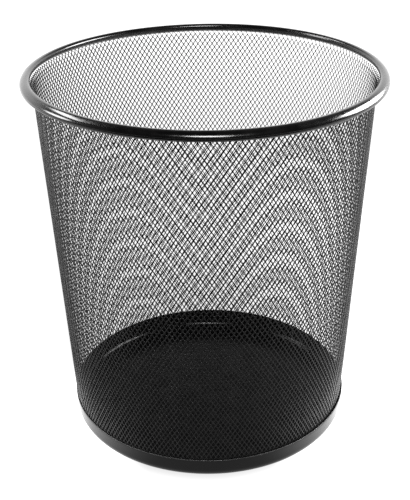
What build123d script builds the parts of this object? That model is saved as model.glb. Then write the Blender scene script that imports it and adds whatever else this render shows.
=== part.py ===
from build123d import *
from math import atan2, cos, degrees, radians, sin, tan
import os

# Round wire-mesh wastebasket, in millimetres. The Z axis is the axis of the basket, the origin is the centre of
# the underside, and the basket stands on z = 0. Every section below is drawn as (radius, height).

# Overall size
RIM_OUTER_D = 295.0
OVERALL_H = 313.5

# Mesh wall: a straight cone of expanded steel sheet, whose top edge is turned outward into the rim
SHEET_T = 0.5
WALL_BOTTOM_Z = 4.1
WALL_BOTTOM_R = 121.1
WALL_STRAIGHT_TOP_Z = 305.5
WALL_STRAIGHT_TOP_R = 137.7
FLARE_R = 2.5
FLARE_TURN = 50.0
FLARE_TAIL = 3.0

# Rim: a strip rolled into a hollow oval bead, leaning outward and down over the turned edge of the mesh
BEAD_HALF_LONG = 4.6
BEAD_HALF_SHORT = 3.25
BEAD_LEAN = 30.0
BEAD_STRIP_T = 0.6
SLIT_LENGTH = 4.4

# Base: a pressed steel pan with a well rounded corner and a short upright skirt just outside the mesh
PAN_OUTER_R = 123.0
PAN_HEIGHT = 18.0
PAN_T = 0.6
PAN_CORNER_R = 8.0

# Tack welds: small nuggets that join the foot of the mesh to the skirt, all the way round
TACK_COUNT = 12
TACK_D = 3.0
TACK_Z = 11.0
TACK_STOCK_LENGTH = 4.8


def bead_centre():
    """Centre of the oval section, set by the overall diameter and height."""
    lean = radians(BEAD_LEAN)
    half_width = ((BEAD_HALF_LONG * cos(lean)) ** 2 + (BEAD_HALF_SHORT * sin(lean)) ** 2) ** 0.5
    half_height = ((BEAD_HALF_LONG * sin(lean)) ** 2 + (BEAD_HALF_SHORT * cos(lean)) ** 2) ** 0.5
    return RIM_OUTER_D / 2 - half_width, OVERALL_H - half_height


def wall_slope():
    """Angle of the wall's straight line above the horizontal, in degrees."""
    rise = WALL_STRAIGHT_TOP_Z - WALL_BOTTOM_Z
    run = WALL_STRAIGHT_TOP_R - WALL_BOTTOM_R
    return degrees(atan2(rise, run))


def along(point, angle, length):
    """The point that lies a length away from another, at an angle in degrees."""
    return point[0] + length * cos(radians(angle)), point[1] + length * sin(radians(angle))


def flare_centre():
    """Centre of the bend that turns the top of the wall outward."""
    return along((WALL_STRAIGHT_TOP_R, WALL_STRAIGHT_TOP_Z), wall_slope() - 90, FLARE_R)


def flare_point(radius, turned):
    """A point of the bend, at a radius from its centre, after turning some degrees."""
    return along(flare_centre(), wall_slope() + 90 - turned, radius)


def spin(section):
    """Turn a (radius, height) section into a solid of revolution about Z."""
    return revolve(Plane.XZ * section, Axis.Z)


def wall_section():
    """Section of the wall: the straight cone, the bend and the short tail inside the bead."""
    inner_r = FLARE_R + SHEET_T
    tail_angle = wall_slope() - FLARE_TURN
    start = wall_slope() + 90
    foot_outer = (WALL_BOTTOM_R, WALL_BOTTOM_Z)
    foot_inner = (WALL_BOTTOM_R - SHEET_T / sin(radians(wall_slope())), WALL_BOTTOM_Z)
    outer_end = flare_point(FLARE_R, FLARE_TURN)
    inner_end = flare_point(inner_r, FLARE_TURN)
    outline = [
        Line(foot_inner, foot_outer),
        Line(foot_outer, flare_point(FLARE_R, 0)),
        CenterArc(flare_centre(), FLARE_R, start, -FLARE_TURN),
        Line(outer_end, along(outer_end, tail_angle, FLARE_TAIL)),
        Line(along(outer_end, tail_angle, FLARE_TAIL), along(inner_end, tail_angle, FLARE_TAIL)),
        Line(along(inner_end, tail_angle, FLARE_TAIL), inner_end),
        CenterArc(flare_centre(), inner_r, start, -FLARE_TURN),
        Line(flare_point(inner_r, 0), foot_inner),
    ]
    return make_face(outline)


def mesh_wall():
    """The mesh wall as a closed sheet with the true outer shape; its openings are too many to cut here."""
    return spin(wall_section())


def rim_band():
    """The rolled rim: a hollow oval bead whose strip edges grip the turned edge of the mesh in a slit."""
    outer = Ellipse(BEAD_HALF_LONG, BEAD_HALF_SHORT)
    inner = Ellipse(BEAD_HALF_LONG - BEAD_STRIP_T, BEAD_HALF_SHORT - BEAD_STRIP_T)
    bead = Pos(*bead_centre()) * Rot(0, 0, -BEAD_LEAN) * (outer - inner)
    tail_angle = wall_slope() - FLARE_TURN
    tail_middle = along(flare_point(FLARE_R + SHEET_T / 2, FLARE_TURN), tail_angle, FLARE_TAIL / 2)
    slit = Rectangle(SLIT_LENGTH, SHEET_T)
    return spin(bead - Pos(*tail_middle) * Rot(0, 0, tail_angle) * slit)


def pan_section():
    """Section of the pan: flat floor, rounded corner and upright skirt with a rounded top edge."""
    corner = (PAN_OUTER_R - PAN_CORNER_R, PAN_CORNER_R)
    inner_corner_r = PAN_CORNER_R - PAN_T
    lip_z = PAN_HEIGHT - PAN_T / 2
    inner_r = PAN_OUTER_R - PAN_T
    outline = [
        Line((0, 0), (corner[0], 0)),
        CenterArc(corner, PAN_CORNER_R, -90, 90),
        Line((PAN_OUTER_R, PAN_CORNER_R), (PAN_OUTER_R, lip_z)),
        CenterArc((PAN_OUTER_R - PAN_T / 2, lip_z), PAN_T / 2, 0, 180),
        Line((inner_r, lip_z), (inner_r, PAN_CORNER_R)),
        CenterArc(corner, inner_corner_r, -90, 90),
        Line((corner[0], PAN_T), (0, PAN_T)),
        Line((0, PAN_T), (0, 0)),
    ]
    return make_face(outline)


def base_pan():
    """The base pan."""
    return spin(pan_section())


def tack_welds(wall, pan):
    """Nuggets across the gap between the mesh and the skirt, trimmed to both faces."""
    wall_r = WALL_BOTTOM_R + (TACK_Z - WALL_BOTTOM_Z) / tan(radians(wall_slope()))
    middle_r = (wall_r + PAN_OUTER_R - PAN_T) / 2
    nugget = Pos(middle_r, 0, TACK_Z) * Rot(0, 90, 0) * Cylinder(TACK_D / 2, TACK_STOCK_LENGTH)
    pieces = []
    for index in range(TACK_COUNT):
        turned = Rot(0, 0, (index + 0.5) * 360 / TACK_COUNT) * nugget
        gap_part = (turned - wall - pan).solids()
        pieces.append(min(gap_part, key=lambda solid: abs(radial_centre(solid) - middle_r)))
    return Compound(children=pieces)


def radial_centre(solid):
    """Distance of a solid's centre from the Z axis."""
    centre = solid.center()
    return (centre.X ** 2 + centre.Y ** 2) ** 0.5


def write(name, shape):
    """Write one sub-part to its STEP file."""
    shape.label = name
    export_step(shape, f"parts/{name}.step")


def main():
    """Build and write every sub-part."""
    os.makedirs("parts", exist_ok=True)
    wall = mesh_wall()
    pan = base_pan()
    write("mesh_wall", wall)
    write("rim_band", rim_band())
    write("base_pan", pan)
    write("tack_welds", tack_welds(wall, pan))


main()
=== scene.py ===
"""Looks of the mesh wastebasket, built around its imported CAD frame. All lengths are in metres."""

from math import atan2, cos, pi, radians, sin, sqrt

import bpy
import numpy as np
from mathutils import Matrix, Quaternion, Vector


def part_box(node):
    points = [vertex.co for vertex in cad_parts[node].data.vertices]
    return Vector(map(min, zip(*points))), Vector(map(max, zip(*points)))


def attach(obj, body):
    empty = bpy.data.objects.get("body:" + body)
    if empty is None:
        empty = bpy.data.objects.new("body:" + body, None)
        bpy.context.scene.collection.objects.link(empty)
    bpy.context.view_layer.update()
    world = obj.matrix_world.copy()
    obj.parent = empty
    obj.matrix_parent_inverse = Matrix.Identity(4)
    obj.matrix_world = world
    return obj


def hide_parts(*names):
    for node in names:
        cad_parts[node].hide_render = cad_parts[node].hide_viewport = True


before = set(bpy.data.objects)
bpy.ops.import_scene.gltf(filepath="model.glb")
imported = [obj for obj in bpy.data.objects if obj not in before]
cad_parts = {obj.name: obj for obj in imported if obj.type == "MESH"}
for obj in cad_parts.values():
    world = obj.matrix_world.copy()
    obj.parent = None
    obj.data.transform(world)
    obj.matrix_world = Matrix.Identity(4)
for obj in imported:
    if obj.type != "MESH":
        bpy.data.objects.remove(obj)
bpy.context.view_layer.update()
MM = 0.001

# Sizes read from the frame
RIM_OUTER_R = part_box("rim_band")[1].x
RIM_TOP_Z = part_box("rim_band")[1].z
PAN_OUTER_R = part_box("base_pan")[1].x
PAN_TOP_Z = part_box("base_pan")[1].z

# The wall's outer line, as (radius, height): a straight cone, a bend outward and a short tail in the rim
WALL_FOOT = (121.1 * MM, 4.1 * MM)
WALL_STRAIGHT_TOP = (137.7 * MM, 305.5 * MM)
FLARE_R = 2.5 * MM
FLARE_TURN = radians(50)
FLARE_TAIL = 2.8 * MM

# The expanded mesh. Its openings are diamonds whose sides keep their length, STRAND_PITCH, as the cone
# narrows. Strands and bonds are widest at the crest, a share CREST of the way in, where their half widths are
# STRAND_HALF and BOND_HALF, and keep a share FACE_SHARE of that at both faces. Every ribbon leans: its inner
# face is shifted round the basket by RIBBON_LEAN. MESH_TURN turns the whole pattern by a share of an opening.
OPENINGS_ROUND = 195
OPENING_TURN = 2 * pi / OPENINGS_ROUND
STRAND_PITCH = 3.86 * MM
STRAND_HALF = 0.34 * MM
BOND_HALF = 0.62 * MM
MESH_DEPTH = 0.55 * MM
CREST = 0.35
FACE_SHARE = 0.6
RIBBON_LEAN = 0.32 * MM
MESH_TURN = 0.06

# An opening's top and bottom corners are cut off at the first share of its half width, and its side corners
# where the bonds are, but never further out than the second
TIP_CUT = 0.13
SIDE_LIMIT = 0.97

# The mesh is made as sectors side by side, each with a map for baking that has margins
SECTORS = 7
MAP_MARGIN = 0.01

# The rim's oval bead, rolled from a strip, and the pan
BEAD_HALF_LONG = 4.6 * MM
BEAD_HALF_SHORT = 3.25 * MM
BEAD_LEAN = radians(30)
STRIP_T = 0.6 * MM
PAN_T = 0.6 * MM
PAN_CORNER_R = 8.0 * MM

# Points along the parts of those two sections, and round the basket
BEAD_STEPS = 60
SLIT_SEARCH_STEPS = 2001
FLOOR_STEPS = 12
CORNER_STEPS = 20
SKIRT_STEPS = 6
LIP_STEPS = 9
ROUND_STEPS = 448

# Edges that turn by more than this stay sharp
SHEET_SHARP = radians(35)
MESH_SHARP = radians(80)

# How far from true the thin metal is: the rim is pressed in and lifted a little along one line across the
# basket and bulges and dips square to it, fading to nothing at the foot, and the pan sits a hair to one side
SQUEEZE = 0.6 * MM
LIFT = 0.45 * MM
SQUEEZE_WAY = radians(35)
PAN_SHIFT = 0.5 * MM

# The black coat: scales of its clouds and of the patches where its edges are rubbed thin and lit, how pointed
# an edge is where that lightening starts and where it is complete, and the lighter tone there, part worn
# metal and part painted highlight
CLOUD_SCALE = 60.0
RUB_AND_HIGHLIGHT_SCALE = 170.0
RUBBED_AND_HIGHLIT_EDGE = (0.511, 0.53)
RUBBED_AND_HIGHLIT_TONE = (0.2, 0.2, 0.2)

# The lights and the room. Every glow is in multiples of plain white. A span is a pair of values, of a
# direction's Y or Z, between which the room fades from one glow to another.
RIGHT_GLOW = 32.0
LEFT_GLOW = 18.0
FRONT_GLOW = 28.0
ROOM_GLOW = 0.04
BACKDROP_GLOW = 1.9
BACKDROP_SPAN = (0.2, 0.7)
CEILING_SHARE = 0.08
CEILING_SPAN = (0.38, 0.56)

# The black card in front of the basket, a dark sheet put there as painted shade in the rim's reflections
CARD_SIZE = (3.0, 2.0)
CARD_EDGE_Y = -0.32
CARD_RISE = 4.0 * MM

# The floor glows by itself. It lies a hair below the pan's underside, so that the two don't coincide.
FLOOR_SIZE = 12.0
FLOOR_DROP = 0.1 * MM
FLOOR_GLOW = 1.05

# What is added to its glow, zone by zone, as painted pools of light, and the spans of places over which each
# zone fades in: close beside the base at the right and at the left, the whole right side until well behind
# the basket, the far corners at both sides, and everything far behind
FLOOR_RIGHT = 2.6
FLOOR_LEFT = 1.9
BESIDE_SPAN = (0.05, 0.12)
BEFORE_SPAN = (0.06, -0.04)
CLOSE_SPAN = (0.175, 0.132)
FLOOR_LEAN = 0.5
LEAN_SPAN_X = (0.0, 0.2)
LEAN_SPAN_Y = (0.75, 0.35)
FLOOR_WINGS = 0.9
WINGS_SPAN_X = (0.25, 0.5)
WINGS_SPAN_Y = (0.4, 0.7)
FLOOR_FAR = 0.27
FAR_SPAN = (0.5, 1.2)

# What is taken from it: a weak painted shade towards the back of the basket, and a painted contact shadow, a
# darker patch under the pan, which fades out just past its edge
FLOOR_SHADE = 0.15
SHADE_CENTRE = (0, 0.12, 0)
SHADE_SPAN = (0.04, 0.21)
CONTACT_SHADOW_SHARE = 0.78
CONTACT_SHADOW_SPAN = (0.117, 0.129)

# The camera, fitted to the outlines of the rim, the walls and the base, and the width of the pixel filter
CAMERA_PLACE = (0, -0.7842, 0.5497)
CAMERA_PITCH = radians(26.98)
CAMERA_YAW = radians(0.12)
CAMERA_ROLL = radians(-0.86)
LENS_MM = 72.5
SENSOR_MM = 36.0
FILTER_PIXELS = 1.5


# ---------------------------------------------------------------- the mesh
class WallLine:
    """The outer line of the wall: a straight cone, a bend outward and a short tail inside the rim."""

    def __init__(self):
        run = WALL_STRAIGHT_TOP[0] - WALL_FOOT[0]
        rise = WALL_STRAIGHT_TOP[1] - WALL_FOOT[1]
        self.straight = sqrt(run * run + rise * rise)
        self.slope = atan2(rise, run)
        self.bend = FLARE_R * FLARE_TURN
        self.length = self.straight + self.bend + FLARE_TAIL
        self.centre_r = WALL_STRAIGHT_TOP[0] + FLARE_R * sin(self.slope)
        self.centre_z = WALL_STRAIGHT_TOP[1] - FLARE_R * cos(self.slope)

    def at(self, along):
        """Radius, height and angle above the horizontal at distances along the line."""
        along = np.asarray(along, float)
        angle = self.slope - np.clip((along - self.straight) / FLARE_R, 0, FLARE_TURN)
        past = np.maximum(along - self.straight - self.bend, 0)
        cone_r = WALL_FOOT[0] + along * cos(self.slope)
        cone_z = WALL_FOOT[1] + along * sin(self.slope)
        bent_r = self.centre_r - FLARE_R * np.sin(angle) + past * np.cos(angle)
        bent_z = self.centre_z + FLARE_R * np.cos(angle) + past * np.sin(angle)
        on_cone = along <= self.straight
        return np.where(on_cone, cone_r, bent_r), np.where(on_cone, cone_z, bent_z), angle

    def points(self, turn, along, depth):
        """Points at an angle round the basket, a distance along the line and a depth into the sheet."""
        r, z, angle = self.at(along)
        r = r - depth * np.sin(angle)
        z = z + depth * np.cos(angle)
        turn = turn - RIBBON_LEAN * depth / MESH_DEPTH / r
        return np.stack([r * np.cos(turn), r * np.sin(turn), z], -1)


def mesh_rows(line):
    """Distances up the wall of the rows of crossings."""
    rows = [0.0]
    while rows[-1] < line.length:
        half_width = pi * float(line.at(rows[-1])[0]) / OPENINGS_ROUND
        rows.append(rows[-1] + sqrt(STRAND_PITCH**2 - half_width**2))
    return np.array(rows[:-1])


def opening_ring(half_w, half_h, strand, bond):
    """Eight corners of an opening between strands and bonds of given half widths, clockwise from its top left
    as seen from outside, as shares of the half width and half height between crossings."""
    keep = 1 - strand * sqrt(half_w**2 + half_h**2) / (half_w * half_h)
    inner_w, inner_h = half_w * keep, half_h * keep
    side_x = min(half_w - bond, SIDE_LIMIT * inner_w)
    side_y = inner_h * (1 - side_x / inner_w)
    tip_x, tip_y = TIP_CUT * inner_w, (1 - TIP_CUT) * inner_h
    x = np.array([-tip_x, tip_x, side_x, side_x, tip_x, -tip_x, -side_x, -side_x]) / half_w
    y = np.array([tip_y, tip_y, side_y, -side_y, -tip_y, -tip_y, -side_y, side_y]) / half_h
    return x, y


class Sector:
    """A run of the mesh's columns, from a first one: its points, its faces and its map for baking."""

    def __init__(self, line, first, count):
        self.line = line
        self.start = (first + MESH_TURN) * OPENING_TURN
        self.width = (count + 1) * OPENING_TURN
        self.total = 0
        self.points = []
        self.spread = []
        self.faces = []

    def place(self, turn, along, depth):
        """Add a grid of points, and return the grid of their numbers."""
        turn, along = np.broadcast_arrays(turn, along)
        self.points.append(self.line.points(turn, along, depth).reshape(-1, 3))
        across = (turn.ravel() - self.start) / self.width
        self.spread.append(np.stack([across, along.ravel() / self.line.length], 1))
        numbers = self.total + np.arange(turn.size).reshape(turn.shape)
        self.total += turn.size
        return numbers

    def face(self, *corners):
        """Add one face for every column, from the numbers of its corners."""
        self.faces += np.stack(corners, 1).tolist()

    def cover(self, crossings, ring, way):
        """Add the faces between four crossings and the ring of the opening; a way of -1 turns them inward."""
        for i in range(4):
            here, after = crossings[i], crossings[(i + 1) % 4]
            near, middle, beyond = ring[2 * i], ring[2 * i + 1], ring[(2 * i + 2) % 8]
            self.face(*(here, near, middle)[::way])
            self.face(*(here, middle, beyond, after)[::way])

    def bridge(self, outer, inner):
        """Add the faces through the sheet between two rings of an opening."""
        for i in range(8):
            after = (i + 1) % 8
            self.face(outer[after], outer[i], inner[i], inner[after])


def mesh_sector(line, rows, first, count):
    """Points, faces and map of a sector: one closed solid, with every opening in it cut through."""
    sector = Sector(line, first, count)
    columns = np.arange(count)
    shift = 0.5 * (np.arange(len(rows)) % 2)
    turn = (first + np.arange(count + 1)[None, :] + shift[:, None] + MESH_TURN) * OPENING_TURN
    front = sector.place(turn, rows[:, None], 0.0)
    back = sector.place(turn, rows[:, None], MESH_DEPTH)
    for row in range(1, len(rows) - 1):
        odd = row % 2
        corners = [(row + 1, columns + odd), (row, columns + 1), (row - 1, columns + odd), (row, columns)]
        half_w = float(line.at(rows[row])[0]) * OPENING_TURN / 2
        half_h = (rows[row + 1] - rows[row - 1]) / 2
        centre = (first + columns + 0.5 + 0.5 * odd + MESH_TURN) * OPENING_TURN
        rings = []
        for share, depth in ((FACE_SHARE, 0.0), (1.0, CREST * MESH_DEPTH), (FACE_SHARE, MESH_DEPTH)):
            x, y = opening_ring(half_w, half_h, share * STRAND_HALF, share * BOND_HALF)
            around = centre[:, None] + x * OPENING_TURN / 2
            rings.append(sector.place(around, rows[row] + y * half_h, depth).T)
        sector.cover([front[corner] for corner in corners], rings[0], 1)
        sector.cover([back[corner] for corner in corners], rings[2], -1)
        sector.bridge(rings[0], rings[1])
        sector.bridge(rings[1], rings[2])
    for here, after in outline_edges(len(rows), count):
        sector.faces.append([int(front[here]), int(front[after]), int(back[after]), int(back[here])])
    return np.concatenate(sector.points), sector.faces, np.concatenate(sector.spread)


def outline_edges(n_rows, count):
    """The edges of a sector's diamonds that only one diamond has, each from one (row, column) to another."""
    edges = []
    for row in range(1, n_rows - 1):
        odd = row % 2
        for column in range(count):
            corners = [(row + 1, column + odd), (row, column + 1), (row - 1, column + odd), (row, column)]
            edges += zip(corners, corners[1:] + corners[:1])
    known = set(edges)
    return [(here, after) for here, after in edges if (after, here) not in known]


# ---------------------------------------------------------------- the rim and the pan
def spun(section, capped=False):
    """Points and faces of a (radius, height) section turned about Z. The section is a closed loop, or it is
    capped: it has two ends, and a disc closes the solid at each."""
    section = np.asarray(section, float)
    turns = np.arange(ROUND_STEPS) * 2 * pi / ROUND_STEPS
    r, z = section[:, 0], section[:, 1]
    x = np.cos(turns)[:, None] * r
    y = np.sin(turns)[:, None] * r
    points = np.stack([x, y, np.broadcast_to(z, x.shape)], -1).reshape(-1, 3)
    n = len(section)
    last = n - 1 if capped else n
    faces = []
    for i in range(ROUND_STEPS):
        j = (i + 1) % ROUND_STEPS
        for k in range(last):
            m = (k + 1) % n
            faces.append((i * n + k, j * n + k, j * n + m, i * n + m))
    if capped:
        starts = range(0, ROUND_STEPS * n, n)
        faces.append(tuple(reversed(starts)))
        faces.append(tuple(start + n - 1 for start in starts))
    return points, faces


def bead_section(line):
    """Section of the rim's strip: an oval tube, open where the mesh goes in."""
    lean_w = sqrt((BEAD_HALF_LONG * cos(BEAD_LEAN)) ** 2 + (BEAD_HALF_SHORT * sin(BEAD_LEAN)) ** 2)
    lean_h = sqrt((BEAD_HALF_LONG * sin(BEAD_LEAN)) ** 2 + (BEAD_HALF_SHORT * cos(BEAD_LEAN)) ** 2)
    centre = np.array([RIM_OUTER_R - lean_w, RIM_TOP_Z - lean_h])
    long_way = np.array([cos(BEAD_LEAN), -sin(BEAD_LEAN)])
    short_way = np.array([sin(BEAD_LEAN), cos(BEAD_LEAN)])

    def oval(phi, inward):
        along = (BEAD_HALF_LONG - inward) * np.cos(phi)[:, None] * long_way
        return centre + along + (BEAD_HALF_SHORT - inward) * np.sin(phi)[:, None] * short_way

    # The slit is the stretch of the strip that the tail of the mesh passes through
    r, z, angle = line.at(line.length - FLARE_TAIL / 2)
    middle = np.array([r - MESH_DEPTH / 2 * np.sin(angle), z + MESH_DEPTH / 2 * np.cos(angle)])
    tail_way = np.array([np.cos(angle), np.sin(angle)])
    phi = np.linspace(-pi, 0, SLIT_SEARCH_STEPS)
    reach = oval(phi, STRIP_T / 2) - middle
    off = np.abs(reach[:, 0] * tail_way[1] - reach[:, 1] * tail_way[0])
    slit = phi[(off < MESH_DEPTH / 2) & (reach @ tail_way < FLARE_TAIL)]
    phi = np.linspace(slit.max(), slit.min() + 2 * pi, BEAD_STEPS)
    return np.concatenate([oval(phi, 0), oval(phi[::-1], STRIP_T)])


def arc(centre, radius, start, end, steps):
    """Points of an arc in a section, angles in degrees."""
    angle = np.radians(np.linspace(start, end, steps))
    return np.stack([centre[0] + radius * np.cos(angle), centre[1] + radius * np.sin(angle)], 1)


def straight(r, z):
    """Points of a straight stretch of a section, where either the radius or the height is one number."""
    return np.stack(np.broadcast_arrays(r, z), 1)


def pan_section():
    """Section of the pan, from near the middle of its underside round the skirt to above where it starts."""
    corner = (PAN_OUTER_R - PAN_CORNER_R, PAN_CORNER_R)
    lip = (PAN_OUTER_R - PAN_T / 2, PAN_TOP_Z - PAN_T / 2)
    floor_r = np.linspace(corner[0] / FLOOR_STEPS, corner[0], FLOOR_STEPS)[:-1]
    skirt_z = np.linspace(PAN_CORNER_R, lip[1], SKIRT_STEPS)[1:-1]
    return np.concatenate(
        [
            straight(floor_r, 0),
            arc(corner, PAN_CORNER_R, -90, 0, CORNER_STEPS),
            straight(PAN_OUTER_R, skirt_z),
            arc(lip, PAN_T / 2, 0, 180, LIP_STEPS),
            straight(PAN_OUTER_R - PAN_T, skirt_z[::-1]),
            arc(corner, PAN_CORNER_R - PAN_T, 0, -90, CORNER_STEPS),
            straight(floor_r[::-1], PAN_T),
        ]
    )


# ---------------------------------------------------------------- pieces
def out_of_true(points):
    """The same points on a basket that is slightly out of round."""
    turn = np.arctan2(points[:, 1], points[:, 0])
    wave = np.cos(2 * (turn - SQUEEZE_WAY)) * points[:, 2] / RIM_TOP_Z
    moved = points.copy()
    moved[:, 0] -= SQUEEZE * wave * np.cos(turn)
    moved[:, 1] -= SQUEEZE * wave * np.sin(turn)
    moved[:, 2] += LIFT * wave
    return moved


def lay_out(mesh, spread):
    """Give a mesh sector its map for baking: the outer faces on the left half, the inner on the right."""
    corners = np.empty(len(mesh.loops), int)
    mesh.loops.foreach_get("vertex_index", corners)
    normals = np.empty(3 * len(mesh.polygons))
    mesh.polygons.foreach_get("normal", normals)
    centres = np.empty(3 * len(mesh.polygons))
    mesh.polygons.foreach_get("center", centres)
    sizes = np.empty(len(mesh.polygons), int)
    mesh.polygons.foreach_get("loop_total", sizes)
    outward = (normals * centres).reshape(-1, 3)[:, :2].sum(1) > 0
    place = spread[corners] * (0.5 - 2 * MAP_MARGIN, 1 - 2 * MAP_MARGIN) + MAP_MARGIN
    place[:, 0] += np.where(np.repeat(outward, sizes), 0.0, 0.5)
    mesh.uv_layers.new(name="OFBake").data.foreach_set("uv", place.ravel())


def new_piece(name, points, faces, material, sharp=SHEET_SHARP, spread=None):
    """A smooth-shaded mesh object that rides on the basket's one body."""
    mesh = bpy.data.meshes.new(name)
    mesh.from_pydata(points.tolist(), [], faces)
    if spread is not None:
        lay_out(mesh, spread)
    mesh.materials.append(material)
    mesh.shade_smooth()
    mesh.set_sharp_from_angle(angle=sharp)
    mesh.update()
    piece = bpy.data.objects.new(name, mesh)
    bpy.context.scene.collection.objects.link(piece)
    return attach(piece, "root")


def mesh_wall(line, coat):
    """The whole expanded mesh of the wall."""
    rows = mesh_rows(line)
    first = 0
    for sector in range(SECTORS):
        after = round((sector + 1) * OPENINGS_ROUND / SECTORS)
        points, faces, spread = mesh_sector(line, rows, first, after - first)
        name = f"mesh_wall_sector_{sector + 1}"
        piece = new_piece(name, out_of_true(points), faces, coat, MESH_SHARP, spread)
        first = after
        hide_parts("mesh_wall")


def rolled_rim(line, coat):
    """The rim, which grips the top edge of the mesh."""
    points, faces = spun(bead_section(line))
    rim = new_piece("rolled_rim", out_of_true(points), faces, coat)
    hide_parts("rim_band")


def pressed_pan(coat):
    """The base, which sits a hair to one side."""
    points, faces = spun(pan_section(), capped=True)
    pan = new_piece("pressed_pan", points + np.array([PAN_SHIFT, 0, 0]), faces, coat)
    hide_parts("base_pan")


# ---------------------------------------------------------------- materials
class Graph:
    """The nodes of a material or of the world, with short ways to add the kinds that this script repeats."""

    def __init__(self, owner):
        owner.use_nodes = True
        self.nodes = owner.node_tree.nodes
        self.links = owner.node_tree.links

    def place(self, kind):
        """Texture coordinates of a kind."""
        return self.nodes.new("ShaderNodeTexCoord").outputs[kind]

    def axes(self, place):
        """The X, Y and Z of a place."""
        parts = self.nodes.new("ShaderNodeSeparateXYZ")
        self.links.new(place, parts.inputs["Vector"])
        return parts.outputs

    def distance(self, place, centre):
        """The distance of a place from a centre."""
        measure = self.nodes.new("ShaderNodeVectorMath")
        measure.operation = "DISTANCE"
        measure.inputs[1].default_value = centre
        self.links.new(place, measure.inputs[0])
        return measure.outputs["Value"]

    def math(self, operation, *values):
        """One operation on one or two values."""
        result = self.nodes.new("ShaderNodeMath")
        result.operation = operation
        for value, socket in zip(values, result.inputs):
            self.links.new(value, socket)
        return result.outputs["Value"]

    def fade(self, value, span, low, high):
        """A level that goes smoothly from low to high as a value goes over a span."""
        step = self.nodes.new("ShaderNodeMapRange")
        step.interpolation_type = "SMOOTHSTEP"
        for name, number in zip(("From Min", "From Max", "To Min", "To Max"), (*span, low, high)):
            step.inputs[name].default_value = number
        self.links.new(value, step.inputs["Value"])
        return step.outputs["Result"]

    def noise(self, place, scale, detail):
        """Soft noise between 0 and 1."""
        texture = self.nodes.new("ShaderNodeTexNoise")
        texture.inputs["Scale"].default_value = scale
        texture.inputs["Detail"].default_value = detail
        self.links.new(place, texture.inputs["Vector"])
        return texture.outputs["Fac"]


def black_coat(name, tone, roughness, shine, grain, bump, wear_and_highlight):
    """Black powder coat: a cloudy tone and gloss, an orange-peel surface with grains of a size and a height,
    and convex edges lighter in places, part rubbed wear and part painted highlight."""
    material = bpy.data.materials.new(name)
    graph = Graph(material)
    shader = graph.nodes["Principled BSDF"]
    shader.inputs["Specular IOR Level"].default_value = shine
    place = graph.place("Object")
    cloud = graph.noise(place, CLOUD_SCALE, detail=4.0)
    patches = graph.noise(place, RUB_AND_HIGHLIGHT_SCALE, detail=3.0)
    peel = graph.noise(place, 1.0 / grain, detail=2.0)

    # Convex edges turn lighter in patches: part rubbed wear, part a painted highlight along the edge
    pointed = graph.nodes.new("ShaderNodeNewGeometry").outputs["Pointiness"]
    convex = graph.fade(pointed, RUBBED_AND_HIGHLIT_EDGE, 0.0, wear_and_highlight)
    patchy = graph.fade(patches, span=(0.3, 0.6), low=0.6, high=1.0)
    worn_and_highlit = graph.math("MULTIPLY", convex, patchy)

    clouded = graph.nodes.new("ShaderNodeValToRGB")
    dark, light = clouded.color_ramp.elements
    dark.position, light.position = 0.35, 0.65
    dark.color = (0.7 * tone, 0.7 * tone, 0.75 * tone, 1)
    light.color = (1.35 * tone, 1.3 * tone, 1.3 * tone, 1)
    graph.links.new(cloud, clouded.inputs["Fac"])
    colour = graph.nodes.new("ShaderNodeMix")
    colour.data_type = "RGBA"
    colour.inputs["B"].default_value = (*RUBBED_AND_HIGHLIT_TONE, 1)
    graph.links.new(worn_and_highlit, colour.inputs["Factor"])
    graph.links.new(clouded.outputs["Color"], colour.inputs["A"])
    graph.links.new(colour.outputs["Result"], shader.inputs["Base Color"])

    gloss = graph.fade(cloud, span=(0.25, 0.75), low=0.8 * roughness, high=1.25 * roughness)
    dull = graph.math("MULTIPLY", worn_and_highlit, worn_and_highlit)
    graph.links.new(graph.math("MAXIMUM", gloss, dull), shader.inputs["Roughness"])

    height = graph.nodes.new("ShaderNodeBump")
    height.inputs["Strength"].default_value = 1.0
    height.inputs["Distance"].default_value = bump
    graph.links.new(peel, height.inputs["Height"])
    graph.links.new(height.outputs["Normal"], shader.inputs["Normal"])
    return material


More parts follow.
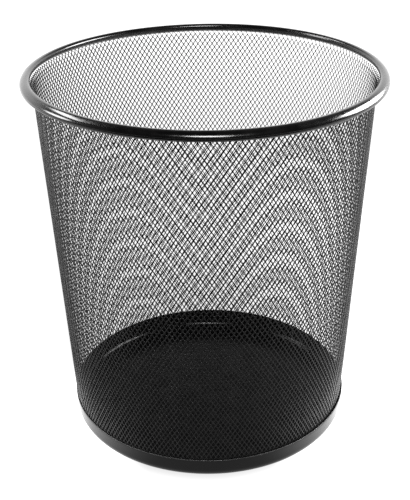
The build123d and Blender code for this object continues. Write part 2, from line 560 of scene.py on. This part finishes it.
def glowing_white():
    """The floor's material: white that glows by itself, brightest beside the basket in painted pools of
    light, and a little darker under the pan in a painted contact shadow.
    """
    material = bpy.data.materials.new("pale_floor")
    graph = Graph(material)
    shader = graph.nodes["Principled BSDF"]
    shader.inputs["Base Color"].default_value = (0.0, 0.0, 0.0, 1)
    shader.inputs["Roughness"].default_value = 0.9
    shader.inputs["Specular IOR Level"].default_value = 0.0
    shader.inputs["Emission Color"].default_value = (1, 1, 1, 1)
    place = graph.place("Object")
    x, y, _ = graph.axes(place)
    from_axis = graph.distance(place, (0, 0, 0))

    right = graph.fade(x, BESIDE_SPAN, 0.0, FLOOR_RIGHT)
    left = graph.fade(x, (-BESIDE_SPAN[0], -BESIDE_SPAN[1]), 0.0, FLOOR_LEFT)
    before = graph.fade(y, BEFORE_SPAN, 0.0, 1.0)
    close = graph.fade(from_axis, CLOSE_SPAN, 0.0, 1.0)
    beside = graph.math("MULTIPLY", graph.math("ADD", right, left), graph.math("MULTIPLY", before, close))

    lean_x = graph.fade(x, LEAN_SPAN_X, 0.0, FLOOR_LEAN)
    lean = graph.math("MULTIPLY", lean_x, graph.fade(y, LEAN_SPAN_Y, 0.0, 1.0))
    wings_x = graph.fade(graph.math("ABSOLUTE", x), WINGS_SPAN_X, 0.0, FLOOR_WINGS)
    wings = graph.math("MULTIPLY", wings_x, graph.fade(y, WINGS_SPAN_Y, 0.0, 1.0))
    far = graph.fade(y, FAR_SPAN, FLOOR_GLOW, FLOOR_GLOW + FLOOR_FAR)
    # Painted shade behind the basket, and a painted contact shadow under the pan
    shade = graph.fade(graph.distance(place, SHADE_CENTRE), SHADE_SPAN, -FLOOR_SHADE, 0.0)
    contact_shadow = graph.fade(from_axis, CONTACT_SHADOW_SPAN, CONTACT_SHADOW_SHARE, 1.0)

    glow = far
    for zone in (beside, lean, shade, wings):
        glow = graph.math("ADD", glow, zone)
    graph.links.new(graph.math("MULTIPLY", glow, contact_shadow), shader.inputs["Emission Strength"])
    return material


def black_card():
    """A plain black material that mirrors nothing."""
    material = bpy.data.materials.new("black_card")
    shader = Graph(material).nodes["Principled BSDF"]
    shader.inputs["Base Color"].default_value = (0.02, 0.02, 0.02, 1)
    shader.inputs["Specular IOR Level"].default_value = 0.0
    return material


# ---------------------------------------------------------------- stage
def photo_camera():
    """A camera at the photograph's distance and height, with its slight roll."""
    data = bpy.data.cameras.new("camera")
    data.lens = LENS_MM
    data.sensor_width = SENSOR_MM
    camera = bpy.data.objects.new("camera", data)
    bpy.context.scene.collection.objects.link(camera)
    turned = Matrix.Rotation(CAMERA_YAW, 4, "Z") @ Matrix.Rotation(pi / 2 - CAMERA_PITCH, 4, "X")
    rolled = turned @ Matrix.Rotation(CAMERA_ROLL, 4, "Z")
    camera.matrix_world = Matrix.Translation(CAMERA_PLACE) @ rolled
    bpy.context.scene.camera = camera


def surround():
    """A dim room with a bright backdrop behind the basket, which looks plain white to the camera."""
    world = bpy.data.worlds.new("surround")
    bpy.context.scene.world = world
    graph = Graph(world)
    _, y, z = graph.axes(graph.place("Generated"))
    behind = graph.fade(y, BACKDROP_SPAN, ROOM_GLOW, BACKDROP_GLOW)
    low = graph.fade(z, CEILING_SPAN, 1.0, CEILING_SHARE)
    white = graph.nodes.new("ShaderNodeMix")
    white.inputs["B"].default_value = 1.0
    seen = graph.nodes.new("ShaderNodeLightPath")
    graph.links.new(seen.outputs["Is Camera Ray"], white.inputs["Factor"])
    graph.links.new(graph.math("MULTIPLY", behind, low), white.inputs["A"])
    background = graph.nodes["Background"]
    background.inputs["Color"].default_value = (1, 1, 1, 1)
    graph.links.new(white.outputs["Result"], background.inputs["Strength"])


def soft_light(name, turn, rise, away, size, glow, roll=0.0):
    """An oval soft light that faces the middle of the mouth, at a bearing from straight behind the basket and
    a rise above the horizontal, both in degrees."""
    light = bpy.data.lights.new(name, "AREA")
    light.shape = "ELLIPSE"
    light.size, light.size_y = size
    light.energy = glow * pi * size[0] * size[1] * pi / 4
    lamp = bpy.data.objects.new(name, light)
    bpy.context.scene.collection.objects.link(lamp)
    turn, rise = radians(turn), radians(rise)
    way = Vector((sin(turn) * cos(rise), cos(turn) * cos(rise), sin(rise)))
    lamp.location = Vector((0, 0, RIM_TOP_Z)) + away * way
    lamp.rotation_mode = "QUATERNION"
    lamp.rotation_quaternion = way.to_track_quat("Z", "Y") @ Quaternion((0, 0, 1), radians(roll))
    lamp.visible_camera = False


def black_flag():
    """A black card on the floor in front of the basket, out of the camera's sight, which darkens the rim: a
    dark sheet that stands in for shade there and is seen only in reflections.
    """
    bpy.ops.mesh.primitive_plane_add(size=1.0)
    flag = bpy.context.object
    flag.name = "black_flag"
    middle = Matrix.Translation((0, CARD_EDGE_Y - CARD_SIZE[1] / 2, CARD_RISE))
    flag.data.transform(middle @ Matrix.Diagonal((*CARD_SIZE, 1.0, 1.0)))
    flag.data.materials.append(black_card())
    flag.visible_camera = False


def pale_floor():
    """A large plain floor."""
    bpy.ops.mesh.primitive_plane_add(size=FLOOR_SIZE)
    floor = bpy.context.object
    floor.name = "floor"
    floor.location.z = -FLOOR_DROP
    floor.data.materials.append(glowing_white())


def studio():
    """The room, soft boxes at both sides, a strip above the camera, the black card and the floor."""
    surround()
    soft_light("right_box", turn=77, rise=19, away=0.52, size=(0.38, 0.28), glow=RIGHT_GLOW, roll=-15)
    soft_light("left_low_box", turn=-88, rise=14, away=0.9, size=(0.32, 0.32), glow=LEFT_GLOW)
    soft_light("left_high_box", turn=-66, rise=41, away=0.9, size=(0.62, 0.16), glow=LEFT_GLOW)
    soft_light("front_strip", turn=178, rise=44, away=1.5, size=(0.62, 0.42), glow=FRONT_GLOW, roll=-25)
    black_flag()
    pale_floor()


photo_camera()
studio()

# The last number of each coat sets how much its convex edges are lightened: part wear, part painted highlight
rim_gloss = black_coat(
    "rim_gloss", tone=0.003, roughness=0.18, shine=0.5, grain=2.0 * MM, bump=0.006 * MM, wear_and_highlight=0.3
)
mesh_coat = black_coat(
    "mesh_coat", tone=0.004, roughness=0.27, shine=0.12, grain=0.8 * MM, bump=0.002 * MM, wear_and_highlight=0.05
)
pan_satin = black_coat(
    "pan_satin", tone=0.0015, roughness=0.2, shine=0.17, grain=1.5 * MM, bump=0.002 * MM, wear_and_highlight=0.4
)

wall_line = WallLine()
mesh_wall(wall_line, mesh_coat)
rolled_rim(wall_line, rim_gloss)
pressed_pan(pan_satin)

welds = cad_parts["tack_welds"]
welds.data.materials.clear()
welds.data.materials.append(pan_satin)

scene = bpy.context.scene
scene.view_settings.view_transform = "Standard"
scene.cycles.use_denoising = False
scene.cycles.filter_width = FILTER_PIXELS
